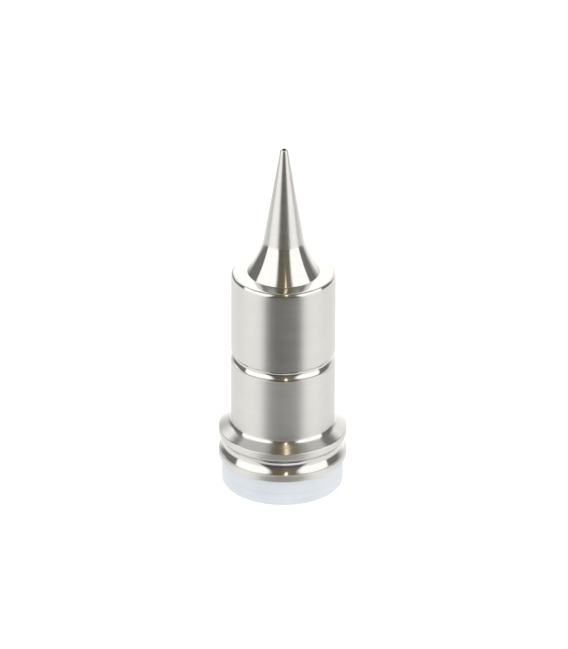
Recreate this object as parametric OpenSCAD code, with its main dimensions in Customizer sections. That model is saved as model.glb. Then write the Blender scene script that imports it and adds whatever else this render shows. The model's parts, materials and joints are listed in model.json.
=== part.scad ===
// Push-in fluid nozzle of a fine spray gun, with its push-on seal ring. Millimetres.
// The origin is the centre of the seal ring's rear face, and +Z runs along the axis to the tip.
// Both pieces are turned parts: each is one outline spun round the axis.

/* [Spray tip] */
// Height of the tip above the seal ring's rear face
tip_z = 15.96; // [15:0.02:17]
// Diameter across the end of the tip
tip_d = 0.32; // [0.28:0.02:0.4]
// Diameter of the spray orifice
orifice_d = 0.2; // [0.1:0.02:0.22]
// Length of the straight land behind the orifice
orifice_land = 0.2; // [0.1:0.02:0.3]

/* [Flare] */
// Height of the crease between the slim cone and the flare
crease_z = 11.58; // [11.3:0.02:11.9]
// Diameter at the crease
crease_d = 1.74; // [1.6:0.02:1.9]
// Diameter of the flare at its foot on the shoulder
foot_d = 3.12; // [2.8:0.02:3.4]
// Radius of the flare's hollow curve
flare_r = 5.4; // [4:0.1:8]

/* [Guide cylinder] */
// Diameter of the guide cylinder
body_d = 4.5; // [4.2:0.05:4.8]
// Height of the flat shoulder
shoulder_z = 10.11; // [9.6:0.03:10.5]
// Radius of the rounded edge of the shoulder
shoulder_round = 0.17; // [0.05:0.01:0.25]
// Height of the middle of the marking groove
mark_z = 6.11; // [4.5:0.01:8]
// Width of the marking groove
mark_w = 0.47; // [0.36:0.01:0.6]
// Depth of the marking groove
mark_depth = 0.165; // [0.05:0.005:0.18]

/* [Flange] */
// Diameter of the flange
flange_d = 5.54; // [5.3:0.02:5.9]
// Height of the rim where the flange's cone begins
rim_z = 2.58; // [2.5:0.01:2.8]
// Slope of the flange's cone from level, in degrees
cone_slope = 33; // [20:1:45]
// Radius of the fillet between the cone and the guide cylinder
fillet_r = 0.25; // [0.1:0.01:0.3]
// Height of the middle of the round-bottomed groove in the rim
groove_z = 1.88; // [1.84:0.01:1.92]
// Width of the round-bottomed groove
groove_w = 0.78; // [0.6:0.01:0.8]
// Depth of the round-bottomed groove
groove_depth = 0.22; // [0.1:0.01:0.3]

/* [Rear end] */
// Diameter of the rear spigot that carries the seal ring
spigot_d = 3.6; // [3.2:0.05:4]
// Length of the rear spigot
spigot_len = 0.85; // [0.6:0.05:1]
// Diameter of the rear bore
bore_d = 2.2; // [1.8:0.05:2.3]
// Height of the front end of the rear bore
bore_end_z = 8.6; // [8:0.1:9]
// Diameter of the needle taper's wide end
taper_d = 0.96; // [0.7:0.02:1]
// Height of the needle taper's wide end
taper_z = 11.5; // [11.2:0.1:11.8]
// Size of the chamfer at the rear bore's mouth
mouth_chamfer = 0.15; // [0.05:0.01:0.2]

/* [Seal ring] */
// Outer diameter of the seal ring
seal_d = 5.26; // [4.9:0.02:5.3]
// Height of the seal ring, from its rear face to the flange
seal_h = 1.22; // [1.15:0.01:1.3]
// Diameter of the hole in the seal ring's rear wall
seal_hole_d = 2.8; // [2.7:0.05:3]
// Radius of the seal ring's rounded rear edge
seal_edge_r = 0.06; // [0.02:0.01:0.2]
// Gap between the spigot and the seal ring's pocket, on the radius
seal_gap = 0.02; // [0.01:0.01:0.05]

/* [Hidden] */
$fn = 192;

tip_r = tip_d / 2;
orifice_r = orifice_d / 2;
crease_r = crease_d / 2;
foot_r = foot_d / 2;
body_r = body_d / 2;
flange_r = flange_d / 2;
spigot_r = spigot_d / 2;
bore_r = bore_d / 2;
taper_r = taper_d / 2;
seal_r = seal_d / 2;
seal_hole_r = seal_hole_d / 2;
pocket_r = spigot_r + seal_gap;
spigot_z = seal_h - spigot_len;
foot = [foot_r, shoulder_z];
crease = [crease_r, crease_z];

// The fillet touches the flange's cone and the cylinder at the same distance from their corner.
corner_z = rim_z + (flange_r - body_r) * tan(cone_slope);
fillet_reach = fillet_r * tan((90 - cone_slope) / 2);
fillet_foot = [body_r + fillet_reach * cos(cone_slope), corner_z - fillet_reach * sin(cone_slope)];
fillet_top = [body_r, corner_z + fillet_reach];

// Radius of a groove of round section that has this width and depth
function groove_r(w, depth) = (w * w / 4 + depth * depth) / (2 * depth);

// Centre of a circle of radius r through a and b, on the right-hand side of the way from a to b
function arc_centre(a, b, r) =
    let (half = (b - a) / 2, reach = sqrt(r * r - half * half) / norm(half))
    a + half + [half.y, -half.x] * reach;

// Quarter circle of radius r in place of an upper outer corner, from its side to its top
function quarter(corner, r) =
    [for (a = [0:7.5:90]) corner + r * [cos(a) - 1, sin(a) - 1]];

// Half section of the tool that leaves a round-bottomed groove in a cylinder of radius r
module groove_cut(r, z, w, depth) {
    cut_r = groove_r(w, depth);
    translate([r - depth + cut_r, z]) circle(cut_r);
}

// Hollow of the flare, between the shoulder and the crease
module flare_cut() {
    intersection() {
        translate(arc_centre(foot, crease, flare_r)) circle(flare_r);
        translate([0, shoulder_z]) square([body_r, crease_z - shoulder_z]);
    }
}

// Outside of the nozzle, from the end of the spigot up to the tip
module outside_outline() {
    difference() {
        polygon([
            [0, spigot_z], [spigot_r, spigot_z],
            [spigot_r, seal_h], [flange_r, seal_h], [flange_r, rim_z],
            fillet_foot, fillet_top,
            each quarter([body_r, shoulder_z], shoulder_round),
            foot, crease,
            [tip_r, tip_z], [0, tip_z],
        ]);
        flare_cut();
        translate([body_r + fillet_r, fillet_top.y]) circle(fillet_r);
        groove_cut(body_r, mark_z, mark_w, mark_depth);
        groove_cut(flange_r, groove_z, groove_w, groove_depth);
    }
}

// Passage through the nozzle: rear bore, its entry cone, needle taper and orifice land
module passage_outline() {
    margin = 1;
    polygon([
        [0, spigot_z - margin],
        [bore_r + mouth_chamfer, spigot_z - margin], [bore_r + mouth_chamfer, spigot_z],
        [bore_r, spigot_z + mouth_chamfer], [bore_r, bore_end_z],
        [taper_r, taper_z],
        [orifice_r, tip_z - orifice_land], [orifice_r, tip_z + margin],
        [0, tip_z + margin],
    ]);
}

module nozzle_body() {
    color("silver") rotate_extrude() difference() {
        outside_outline();
        passage_outline();
    }
}

// Cup-shaped ring: a pocket for the spigot, and a rear wall with a hole round the bore's mouth
module seal_ring() {
    color("aliceblue") rotate_extrude() union() {
        polygon([
            [seal_hole_r, 0], [seal_r - seal_edge_r, 0],
            [seal_r - seal_edge_r, seal_edge_r], [seal_r, seal_edge_r],
            [seal_r, seal_h], [pocket_r, seal_h],
            [pocket_r, spigot_z], [seal_hole_r, spigot_z],
        ]);
        translate([seal_r - seal_edge_r, seal_edge_r]) circle(seal_edge_r);
    }
}

nozzle_body();
seal_ring();
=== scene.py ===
# Push-in airbrush nozzle with its seal ring, standing on the ring with its spray tip up.
# Both pieces are turned parts: an outline in the plane of radius and height is spun round Z.
import json
import math

import bpy
import numpy as np
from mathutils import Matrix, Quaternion, Vector


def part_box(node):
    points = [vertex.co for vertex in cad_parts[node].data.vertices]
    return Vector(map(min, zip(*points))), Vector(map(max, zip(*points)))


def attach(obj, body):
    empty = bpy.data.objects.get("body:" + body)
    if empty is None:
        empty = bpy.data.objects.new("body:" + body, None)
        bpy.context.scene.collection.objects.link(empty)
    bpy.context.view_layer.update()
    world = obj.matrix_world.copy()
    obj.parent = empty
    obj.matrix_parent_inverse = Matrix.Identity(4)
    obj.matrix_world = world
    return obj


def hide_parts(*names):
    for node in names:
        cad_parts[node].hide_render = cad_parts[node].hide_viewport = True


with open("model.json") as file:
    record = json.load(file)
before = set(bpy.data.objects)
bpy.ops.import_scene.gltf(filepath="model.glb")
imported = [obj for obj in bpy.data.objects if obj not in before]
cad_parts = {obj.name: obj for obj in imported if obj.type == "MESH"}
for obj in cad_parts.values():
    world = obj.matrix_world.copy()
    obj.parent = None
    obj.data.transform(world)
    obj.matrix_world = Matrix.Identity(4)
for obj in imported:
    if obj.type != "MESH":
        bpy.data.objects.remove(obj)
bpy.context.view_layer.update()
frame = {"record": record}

MM = 0.001
body_lo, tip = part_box("nozzle_body")
seal_lo, seal_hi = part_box("seal_ring")
mount = {m["name"]: m.get("dims", {}) for m in frame["record"]["mounts"]}

# Sizes that the frame gives, in millimetres
TIP_Z = tip.z / MM
FLANGE_R = tip.x / MM
SEAL_R = seal_hi.x / MM
SEAL_H = seal_hi.z / MM
SPIGOT_Z = body_lo.z / MM
BODY_R = mount["guide_cylinder"]["r_mm"]
BORE_R = mount["rear_bore"]["r_mm"]
ORIFICE_R = mount["orifice"]["r_mm"]
SEAL_HOLE_R = mount["seal_hole"]["r_mm"]

# Spray tip, slim cone and flare
TIP_R = 0.16
TIP_ROUND = 0.05
ORIFICE_LAND = mount["orifice"]["length_mm"]
CREASE = (0.87, 11.58)
FOOT = (1.56, 10.11)
FLARE_R = 5.4

# Guide cylinder and its marking groove
SHOULDER_ROUND = 0.17
MARK_Z = 6.11
MARK_W = 0.47
MARK_DEPTH = 0.165

# Flange, with a 33 degree cone above its rim and a round-bottomed groove in it
RIM_Z = 2.58
CONE_SLOPE = math.radians(33)
FILLET_R = 0.25
GROOVE_Z = 1.88
GROOVE_W = 0.78
GROOVE_DEPTH = 0.22
LAND_ROUND = 0.04
LIP_REACH = 0.05

# Rear end and the passage through the nozzle
SPIGOT_R = 1.8
MOUTH_CHAMFER = 0.15
BORE_END_Z = 8.6
TAPER = (0.48, 11.5)

# Seal ring
SEAL_GAP = 0.02
SEAL_EDGE_R = 0.06

# Where the flange's finishes begin and end. ON_FACE and NEAR_FACE are how far from a face's
# radius or height a ring may lie and still take that face's finish.
ON_FACE = 0.006
NEAR_FACE = 0.01
SATIN_START_Z = RIM_Z + 0.4
SATIN_LIP = 0.05
LAPPED_TOP_Z = RIM_Z + 0.28
LAPPED_INNER_R = BODY_R + 0.1

# How finely the pieces are meshed: the step of the walk along an outline, the turn from ring to
# ring on a broken edge and on a round stretch, the longest way between rings, and the points
# round each ring
WALK = 0.002
EDGE_TURN = math.radians(7)
ROUND_TURN = math.radians(30)
ROUND_REACH = 0.06
LONGEST_STEP = 0.45
AROUND = 240


def fade(value, start, end):
    """0 below start and 1 above end, and a smooth S between them: 3t squared less 2t cubed."""
    t = np.clip((value - start) / (end - start), 0.0, 1.0)
    return t * t * (3.0 - 2.0 * t)


# ---------------------------------------------------------------- outlines

def arc(centre, radius, begin, end, steps=24):
    """Points on a circle, from one angle to another, in degrees from the outward radius."""
    a = np.radians(np.linspace(begin, end, steps))
    return np.stack([centre[0] + radius * np.cos(a), centre[1] + radius * np.sin(a)], 1)


def arc_between(a, b, radius, steps=32):
    """Points on a circle of this radius through a and b, bowed towards the axis."""
    a, b = np.array(a), np.array(b)
    half = (b - a) / 2
    across = np.array([-half[1], half[0]]) / np.hypot(*half)
    centre = a + half + across * math.sqrt(radius**2 - half @ half)
    t0, t1 = [math.degrees(math.atan2(*(p - centre)[::-1])) % 360 for p in (a, b)]
    return arc(centre, radius, t0, t1, steps)


def soften(a, corner, b, before, after, steps=16):
    """A curve in place of the sharp corner between the line from a and the line to b. It starts
    this far before the corner and ends this far after it, and weighs its start, the corner and
    its end by (1 - t) squared, 2 t (1 - t) and t squared."""
    a, corner, b = np.array(a), np.array(corner), np.array(b)
    start = corner + (a - corner) * before / np.hypot(*(a - corner))
    end = corner + (b - corner) * after / np.hypot(*(b - corner))
    t = np.linspace(0, 1, steps)[:, None]
    return (1 - t)**2 * start + 2 * t * (1 - t) * corner + t**2 * end


def round_groove(surface_r, z, width, depth, steps=32):
    """A round-bottomed groove in a cylinder, from its upper lip to its lower lip.
    A circle of radius (width squared over 4, plus depth squared) over twice the depth
    has just this width and depth."""
    radius = (width * width / 4 + depth * depth) / (2 * depth)
    lip = math.degrees(math.asin(width / 2 / radius))
    return arc((surface_r - depth + radius, z), radius, 180 - lip, 180 + lip, steps)


def spin(name, outline, ease, finishes):
    """A closed outline of radius and height, in millimetres, spun into a closed skin.

    The outline is walked in even steps. Each point then becomes the mean of the outline over
    ease millimetres of travel on either side, which breaks every sharp edge by about that much.
    Rings are laid where the outline turns or travels, closer together near its bends. Ring i
    at angle a is (r cos a, r sin a, z). finishes gives a material and the share of rings that
    it covers, by a test on the outline's radius, height and travel.
    """
    closed = np.vstack([outline, outline[:1]])
    length = np.r_[0, np.cumsum(np.hypot(*np.diff(closed, axis=0).T))]
    travel = np.arange(0, length[-1], WALK)
    fine = np.stack([np.interp(travel, length, closed[:, k]) for k in (0, 1)], 1)

    def mean(values, reach):
        n = max(1, int(round(reach / WALK)))
        kernel = np.ones(2 * n + 1) / (2 * n + 1)
        return np.convolve(np.r_[values[-n:], values, values[:n]], kernel, "valid")

    fine = np.stack([mean(fine[:, k], ease) for k in (0, 1)], 1)
    ahead = np.roll(fine, -1, 0) - fine
    heading = np.unwrap(np.arctan2(ahead[:, 1], ahead[:, 0]))
    turning = np.abs(np.roll(heading, -1) - heading)
    turning[-1] = turning[0]
    turning = np.minimum(turning, 1.0)
    density = mean(turning, 1.5 * ease) / EDGE_TURN + mean(turning, ROUND_REACH) / ROUND_TURN
    density = density + WALK / LONGEST_STEP
    share = np.cumsum(density)
    rings = int(share[-1])
    at = np.interp((np.arange(rings) + 0.5) * share[-1] / rings, share, np.arange(len(fine)))
    r, z = [np.interp(at, np.arange(len(fine)), fine[:, k]) for k in (0, 1)]

    angle = np.arange(AROUND) * 2 * math.pi / AROUND
    points = np.empty((rings, AROUND, 3))
    points[..., 0] = r[:, None] * np.cos(angle)
    points[..., 1] = r[:, None] * np.sin(angle)
    points[..., 2] = z[:, None]

    i, j = np.meshgrid(np.arange(rings), np.arange(AROUND), indexing="ij")
    down, on = (i + 1) % rings, (j + 1) % AROUND
    quads = np.stack([i * AROUND + j, down * AROUND + j, down * AROUND + on, i * AROUND + on], -1)

    mesh = bpy.data.meshes.new(name)
    mesh.vertices.add(rings * AROUND)
    mesh.vertices.foreach_set("co", (points * MM).ravel())
    mesh.loops.add(quads.size)
    mesh.loops.foreach_set("vertex_index", quads.ravel())
    mesh.polygons.add(rings * AROUND)
    mesh.polygons.foreach_set("loop_start", np.arange(0, quads.size, 4))
    mesh.polygons.foreach_set("use_smooth", np.ones(rings * AROUND, bool))
    mesh.update(calc_edges=True)

    piece = bpy.data.objects.new(name, mesh)
    bpy.context.scene.collection.objects.link(piece)
    middle_r, middle_z = (r + np.roll(r, -1)) / 2, (z + np.roll(z, -1)) / 2
    level = np.roll(z, -1) - z
    chosen = np.zeros(rings, int)
    for k, (material, where) in enumerate(finishes):
        mesh.materials.append(material)
        chosen[where(middle_r, middle_z, level)] = k
    mesh.polygons.foreach_set("material_index", np.repeat(chosen, AROUND))
    return piece


# ---------------------------------------------------------------- materials

class Nodes:
    """A material's node tree, with short calls to add and join its nodes."""

    def __init__(self, name):
        self.material = bpy.data.materials.new(name)
        self.material.use_nodes = True
        self.tree = self.material.node_tree
        self.shader = self.tree.nodes["Principled BSDF"]

    def add(self, kind, out=0, values=None, **settings):
        """A new node, its settings and its inputs. An input is a number, a colour or a socket."""
        node = self.tree.nodes.new("ShaderNode" + kind)
        for key, value in settings.items():
            setattr(node, key, value)
        for key, value in (values or {}).items():
            self.put(node.inputs[key], value)
        return node.outputs[out]

    def put(self, socket, value):
        if isinstance(value, bpy.types.NodeSocket):
            self.tree.links.new(value, socket)
        else:
            socket.default_value = value

    def math(self, what, a, b=0.0):
        return self.add("Math", operation=what, values={0: a, 1: b})

    def ramp(self, value, low, high, dark, light):
        """value between low and high becomes a number between dark and light."""
        limits = {"From Min": low, "From Max": high, "To Min": dark, "To Max": light}
        return self.add("MapRange", values={"Value": value, **limits})

    def mix(self, share, a, b):
        return self.add("Mix", out=2, data_type="RGBA", values={0: share, 6: a, 7: b})


def turning_marks(n, pitch, drift):
    """Noise that is fine along the outline and long round the axis, so it looks like the marks
    of a turning tool: it reads radius and height over pitch, and x and y over drift."""
    at = n.add("SeparateXYZ", values={0: n.add("TexCoord", out=3)}).node
    x, y, z = at.outputs
    radius = n.math("SQRT", n.math("ADD", n.math("MULTIPLY", x, x), n.math("MULTIPLY", y, y)))
    fine = 1 / (pitch * MM)
    slow = 1 / (drift * MM)
    across = n.add("CombineXYZ", values={
        "X": n.math("MULTIPLY", radius, fine),
        "Y": n.math("MULTIPLY", z, fine),
        "Z": n.math("MULTIPLY", x, slow),
    })
    return n.add("TexNoise", noise_dimensions="4D", values={
        "Vector": across, "W": n.math("MULTIPLY", y, slow),
        "Scale": 1.0, "Detail": 2.0, "Roughness": 0.55,
    })


def turned_metal(name, light, dark, roughness, spread, depth, pitch=0.035, anisotropy=0.0,
                 haze=0.0):
    """Nickel silver with the marks of its turning tool in colour, gloss and relief. haze is the
    share of the surface that fine scratches turn matt."""
    n = Nodes(name)
    fine = turning_marks(n, pitch, 6.0)
    broad = turning_marks(n, pitch * 7, 2.5)
    at = n.add("TexCoord", out=3)
    cloud = n.add("TexNoise", values={"Vector": at, "Scale": 900.0, "Detail": 3.0})
    grain = n.add("TexNoise", values={"Vector": at, "Scale": 16000.0, "Detail": 2.0})
    shade = n.math("ADD", n.math("MULTIPLY", broad, 0.4), n.math("MULTIPLY", cloud, 0.3))
    shade = n.math("ADD", shade, n.math("MULTIPLY", grain, 0.3))
    n.put(n.shader.inputs["Base Color"], n.mix(n.ramp(shade, 0.3, 0.7, 0, 1), dark, light))
    rub = n.math("ADD", n.math("MULTIPLY", fine, 0.5), n.math("MULTIPLY", broad, 0.5))
    low, high = roughness - spread, roughness + spread
    n.put(n.shader.inputs["Roughness"], n.ramp(rub, 0.3, 0.7, low, high))
    height = n.math("ADD", n.math("MULTIPLY", fine, 0.5), n.math("MULTIPLY", broad, 0.3))
    height = n.math("ADD", height, n.math("MULTIPLY", grain, 0.6))
    bump = n.add("Bump", values={"Strength": 1.0, "Distance": depth * MM, "Height": height})
    n.put(n.shader.inputs["Normal"], bump)
    n.put(n.shader.inputs["Metallic"], 1.0 - haze)
    if anisotropy:
        n.put(n.shader.inputs["Anisotropic"], anisotropy)
        n.put(n.shader.inputs["Anisotropic Rotation"], 0.25)
        n.put(n.shader.inputs["Tangent"], n.add("Tangent", direction_type="RADIAL", axis="Z"))
    return n.material


def milky_ptfe(name):
    """Waxy white PTFE: light sinks in a little, and a knife has left faint rings round it."""
    n = Nodes(name)
    rings = turning_marks(n, 0.09, 5.0)
    at = n.add("TexCoord", out=3)
    cloud = n.add("TexNoise", values={"Vector": at, "Scale": 700.0, "Detail": 4.0})
    shade = n.math("ADD", n.math("MULTIPLY", rings, 0.5), n.math("MULTIPLY", cloud, 0.5))
    tint = n.mix(n.ramp(shade, 0.3, 0.7, 0, 1), (0.66, 0.70, 0.74, 1), (0.76, 0.79, 0.82, 1))
    n.put(n.shader.inputs["Base Color"], tint)
    n.put(n.shader.inputs["Roughness"], n.ramp(rings, 0.3, 0.7, 0.45, 0.6))
    bump = n.add("Bump", values={"Strength": 1.0, "Distance": 0.004 * MM, "Height": shade})
    n.put(n.shader.inputs["Normal"], bump)
    n.put(n.shader.inputs["IOR"], 1.35)
    n.put(n.shader.inputs["Specular IOR Level"], 0.25)
    n.put(n.shader.inputs["Subsurface Weight"], 0.35)
    n.put(n.shader.inputs["Subsurface Radius"], (0.8, 0.9, 1.0))
    n.put(n.shader.inputs["Subsurface Scale"], 0.25 * MM)
    return n.material


# ---------------------------------------------------------------- the two pieces

def nozzle_outline():
    """The nozzle from its tip down the outside, over the spigot and back up the bore."""
    corner_z = RIM_Z + (FLANGE_R - BODY_R) * math.tan(CONE_SLOPE)
    reach = FILLET_R * math.tan((math.pi / 2 - CONE_SLOPE) / 2)
    fillet_top = corner_z + reach
    fillet = arc((BODY_R + FILLET_R, fillet_top), FILLET_R, 180, 270 - math.degrees(CONE_SLOPE))
    mark = round_groove(BODY_R, MARK_Z, MARK_W, MARK_DEPTH)
    groove = round_groove(FLANGE_R, GROOVE_Z, GROOVE_W, GROOVE_DEPTH)
    lip = soften((FLANGE_R, RIM_Z), groove[0], groove[4], LAND_ROUND, LIP_REACH)
    groove = groove[groove[:, 1] < lip[-1, 1]]
    rim = soften((ORIFICE_R, TIP_Z), (TIP_R, TIP_Z), CREASE, TIP_ROUND, TIP_ROUND)
    edge = (BODY_R, FOOT[1])
    shoulder = soften(FOOT, edge, (BODY_R, MARK_Z), SHOULDER_ROUND, SHOULDER_ROUND)
    return np.vstack([
        [[ORIFICE_R, TIP_Z]],
        rim,
        arc_between(CREASE, FOOT, FLARE_R),
        shoulder,
        mark,
        fillet,
        [[FLANGE_R, RIM_Z]],
        lip,
        groove,
        [[FLANGE_R, GROOVE_Z - GROOVE_W / 2], [FLANGE_R, SEAL_H]],
        [[SPIGOT_R, SEAL_H], [SPIGOT_R, SPIGOT_Z]],
        [[BORE_R + MOUTH_CHAMFER, SPIGOT_Z], [BORE_R, SPIGOT_Z + MOUTH_CHAMFER]],
        [[BORE_R, BORE_END_Z], TAPER, [ORIFICE_R, TIP_Z - ORIFICE_LAND]],
    ])


def seal_outline():
    """The seal ring from the top of its wall down the outside and back up through its hole."""
    pocket_r = SPIGOT_R + SEAL_GAP
    return np.vstack([
        [[pocket_r, SEAL_H], [SEAL_R, SEAL_H]],
        arc((SEAL_R - SEAL_EDGE_R, SEAL_EDGE_R), SEAL_EDGE_R, 0, -90),
        [[SEAL_HOLE_R, 0], [SEAL_HOLE_R, SPIGOT_Z], [pocket_r, SPIGOT_Z]],
    ])


def inside(r, z, level):
    """The passage, where the outline climbs close to the axis."""
    return (r <= BORE_R + NEAR_FACE) & (level > 0)


def guide(r, z, level):
    """The guide cylinder above its marking groove."""
    return (r > BODY_R - ON_FACE) & (z > MARK_Z) & (z < FOOT[1] - SHOULDER_ROUND)


def lower_guide_and_lands(r, z, level):
    """The guide cylinder below its marking groove, and the flange's two lands with their lips."""
    below = (r > BODY_R - ON_FACE) & (z < MARK_Z) & (z > SATIN_START_Z)
    return below | ((r > FLANGE_R - SATIN_LIP) & (z < RIM_Z + NEAR_FACE))


def slim_cone(r, z, level):
    """The slim cone between the crease and the tip."""
    return (z > CREASE[1]) & (level < 0)


def flange_cone(r, z, level):
    """The cone above the flange's rim."""
    return (z > RIM_Z) & (z < LAPPED_TOP_Z) & (r > LAPPED_INNER_R)


LIGHT_NICKEL = (0.76, 0.75, 0.73, 1)
CONE_NICKEL = (0.74, 0.73, 0.71, 1)
DARK_NICKEL = (0.70, 0.685, 0.66, 1)
NOZZLE_EASE = 0.018
SEAL_EASE = 0.02
polished = turned_metal("nickel silver, polished", LIGHT_NICKEL, DARK_NICKEL, 0.09, 0.03, 0.00005)
lapped = turned_metal("nickel silver, lapped cone", LIGHT_NICKEL, DARK_NICKEL, 0.14, 0.04, 0.0006,
                      pitch=0.06)
satin = turned_metal("nickel silver, satin", LIGHT_NICKEL, DARK_NICKEL, 0.33, 0.03, 0.0006,
                     anisotropy=0.3)
soft_satin = turned_metal("nickel silver, soft satin", LIGHT_NICKEL, DARK_NICKEL, 0.38, 0.03,
                          0.0008, anisotropy=0.3, haze=0.09)
fine_satin = turned_metal("nickel silver, fine satin", CONE_NICKEL, DARK_NICKEL, 0.30, 0.04, 0.0006,
                          anisotropy=0.3)
bored = turned_metal("nickel silver, bored", LIGHT_NICKEL, DARK_NICKEL, 0.36, 0.05, 0.001)

nozzle = spin("nozzle", nozzle_outline(), NOZZLE_EASE, [
    (polished, lambda r, z, level: r > 0),
    (satin, guide), (soft_satin, lower_guide_and_lands), (fine_satin, slim_cone),
    (lapped, flange_cone), (bored, inside),
])
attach(nozzle, "nozzle")
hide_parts("nozzle_body")

milky = milky_ptfe("PTFE, milky")
ring = spin("seal", seal_outline(), SEAL_EASE, [(milky, lambda r, z, level: r > 0)])
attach(ring, "seal")
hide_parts("seal_ring")


# ---------------------------------------------------------------- studio

def stage_piece(name, points, faces, material, seen_by_camera):
    """A stage mesh. Reflections see the tent, and the camera sees the floor."""
    mesh = bpy.data.meshes.new(name)
    mesh.from_pydata(points, [], faces)
    mesh.materials.append(material)
    piece = bpy.data.objects.new(name, mesh)
    bpy.context.scene.collection.objects.link(piece)
    piece.visible_camera = seen_by_camera
    piece.visible_glossy = not seen_by_camera
    piece.visible_diffuse = seen_by_camera
    piece.visible_transmission = seen_by_camera
    piece.visible_shadow = seen_by_camera
    return piece


def glow(name, colour, strength):
    """A plain light-giving material. colour is a colour, or the name of a mesh attribute."""
    n = Nodes(name)
    n.tree.nodes.remove(n.shader)
    if isinstance(colour, str):
        colour = n.add("Attribute", attribute_name=colour)
    light = n.add("Emission", values={"Color": colour, "Strength": strength})
    n.put(n.tree.nodes["Material Output"].inputs["Surface"], light)
    n.material.cycles.emission_sampling = "NONE"
    return n.material


def tent_light(x, y, z):
    """Light that comes from each direction: x to the right, y away from the camera, z up.

    A white table below, a softbox on either side, a white wall behind, greyer cloth overhead,
    a dark gap between each softbox and the wall, and the dark room in front of the object,
    where a narrow warm lamp arches from high in front to overhead. Each part fades into the
    next over a few degrees, and the right-hand side stands a little nearer the camera.
    """
    table, softbox = 1.02, 1.38
    low_wall, high_wall = 1.1, 1.42
    front_cloth, back_cloth = 0.62, 0.35
    gap_shade = 0.21
    white, warm = np.array([1.0, 0.995, 0.98]), np.array([1.0, 0.87, 0.62])

    right = np.where(x > 0, 1.0, 0.0)
    up = np.degrees(np.arcsin(z))
    bearing = np.degrees(np.arctan2(np.abs(x), -y))

    level = table + (softbox - table) * fade(up, -22, -2)
    wall = low_wall + (high_wall - low_wall) * fade(bearing, 150, 178)
    level = level + (wall - level) * fade(bearing, 122, 138) * fade(up, -10, 5)
    top = np.interp(bearing, [0, 80, 118, 140, 180], [58, 58, 46, 53, 53])
    cloth = front_cloth + (back_cloth - front_cloth) * fade(bearing, 112, 128)
    level = level + (cloth - level) * fade(up, top - 6, top + 6)

    begin = 0.5 * np.maximum(z, 0)**2 + 0.015 - 0.05 * right
    low_end = 1 - fade(bearing + 16 * right, 130, 170)
    high_end = 1 - fade(bearing - 4 * right, 122, 133)
    gap = low_end + (high_end - low_end) * fade(up, 12, 30)
    gap = gap * fade(y, begin - 0.035, begin + 0.035) * fade(up, -22, -6) * (1 - fade(up, 48, 57))
    level = level + (gap_shade - level) * gap
    colour = level[..., None] * white

    half = np.interp(up, [-28, -10, 8, 31, 51, 68, 75], [0.59, 0.52, 0.43, 0.35, 0.31, 0.28, 0.22])
    half = half + right * np.interp(up, [-28, 0], [0.02, 0.08])
    front = (1 - fade(np.abs(x), half - 0.09, half + 0.09)) * (1 - fade(y, 0.0, 0.35))
    shades = [[0.80, 0.09, 0.10, 0.15, 0.17],
              [0.80, 0.09, 0.10, 0.14, 0.15],
              [0.80, 0.08, 0.09, 0.12, 0.11]]
    room = np.stack([np.interp(up, [-52, -38, -18, 5, 30], shade) for shade in shades], -1)
    room = room * (1 + 0.3 * fade(x, -0.08, 0.08))[..., None]
    colour = colour + (room - colour) * front[..., None]

    middle = np.interp(up, [32, 62, 90], [0.122, 0.075, 0.066])
    lamp = 2.0 * (1 - fade(np.abs(x - middle), 0.015, 0.045)) * (1 - fade(y, 0.02, 0.06))
    lamp = lamp * fade(up, 20, 50) * (1 - 0.35 * fade(up, 60, 80))
    return colour + lamp[..., None] * warm


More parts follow.
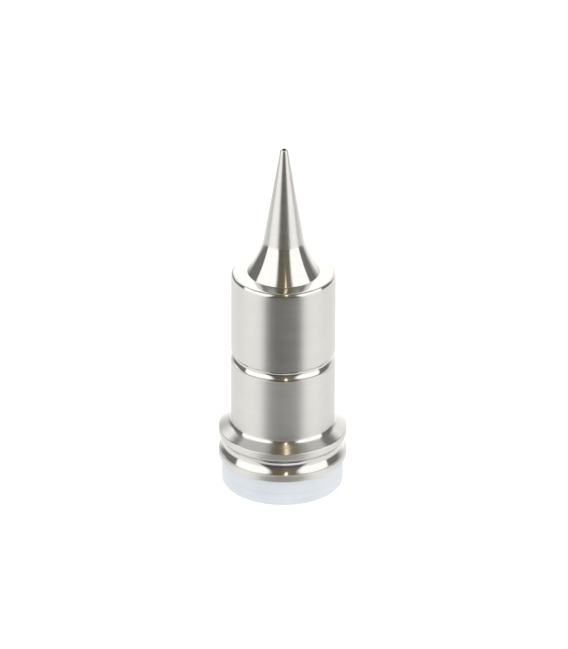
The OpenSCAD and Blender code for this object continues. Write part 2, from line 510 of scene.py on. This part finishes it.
def light_tent(centre, radius):
    """A sphere round the object, seen only in its reflections. Each point of the sphere glows
    with the light that tent_light gives for its direction."""
    across, down = 600, 300
    a = np.linspace(0, 2 * math.pi, across, endpoint=False)
    e = np.linspace(-math.pi / 2, math.pi / 2, down)
    e, a = [g.ravel() for g in np.meshgrid(e, a, indexing="ij")]
    x, y, z = np.cos(e) * np.sin(a), -np.cos(e) * np.cos(a), np.sin(e)
    points = np.array(centre) + radius * np.stack([x, y, z], 1)
    i, j = np.meshgrid(np.arange(down - 1), np.arange(across), indexing="ij")
    on = (j + 1) % across
    faces = np.stack([i * across + j, (i + 1) * across + j, (i + 1) * across + on, i * across + on], -1)
    tent = stage_piece("light_tent", points, faces.reshape(-1, 4), glow("tent", "light", 1.0), False)
    light = np.ones((len(points), 4))
    light[:, :3] = tent_light(x, y, z)
    shade = tent.data.color_attributes.new("light", "FLOAT_COLOR", "POINT")
    shade.data.foreach_set("color", light.ravel())


def pale_floor(height, size):
    """A plain white table that glows a little, as a light table does."""
    n = Nodes("floor")
    n.put(n.shader.inputs["Base Color"], (0.35, 0.35, 0.35, 1))
    n.put(n.shader.inputs["Roughness"], 0.9)
    n.put(n.shader.inputs["Specular IOR Level"], 0.0)
    n.put(n.shader.inputs["Emission Color"], (1, 1, 1, 1))
    n.put(n.shader.inputs["Emission Strength"], 0.76)
    corners = [(-size, -size, height), (size, -size, height), (size, size, height), (-size, size, height)]
    stage_piece("floor", corners, [(0, 1, 2, 3)], n.material, True)


def studio():
    """White surroundings that light the object evenly from every side."""
    world = bpy.data.worlds.new("studio")
    bpy.context.scene.world = world
    world.use_nodes = True
    world.node_tree.nodes["Background"].inputs["Color"].default_value = (1, 1, 1, 1)
    world.node_tree.nodes["Background"].inputs["Strength"].default_value = 1.0
    bpy.context.scene.view_settings.view_transform = "Standard"
    light_tent((0, 0, TIP_Z / 2 * MM), radius=0.6)
    pale_floor(seal_lo.z, size=0.5)


def camera():
    """Looks down at 28 degrees from 360 mm. The picture is 649 high, and the lens makes a
    millimetre at the object 23.156 of those."""
    elevation, distance, lean = math.radians(28), 360 * MM, math.radians(0.2945)
    picture_height, per_mm = 649, 23.156
    back = Vector((0, -math.cos(elevation), math.sin(elevation)))
    up = Vector((0, math.sin(elevation), math.cos(elevation)))
    aim = Vector((0.034 * MM, 0, 8 * MM)) - up * 0.445 * MM
    data = bpy.data.cameras.new("camera")
    data.lens = data.sensor_width * per_mm * distance / MM / picture_height
    data.clip_start, data.clip_end = 0.02, 5.0
    eye = bpy.data.objects.new("camera", data)
    bpy.context.scene.collection.objects.link(eye)
    eye.location = aim + back * distance
    eye.rotation_mode = "QUATERNION"
    turn = (-back).to_track_quat("-Z", "Y")
    eye.rotation_quaternion = turn @ Quaternion((0, 0, 1), lean)
    bpy.context.scene.camera = eye


studio()
camera()
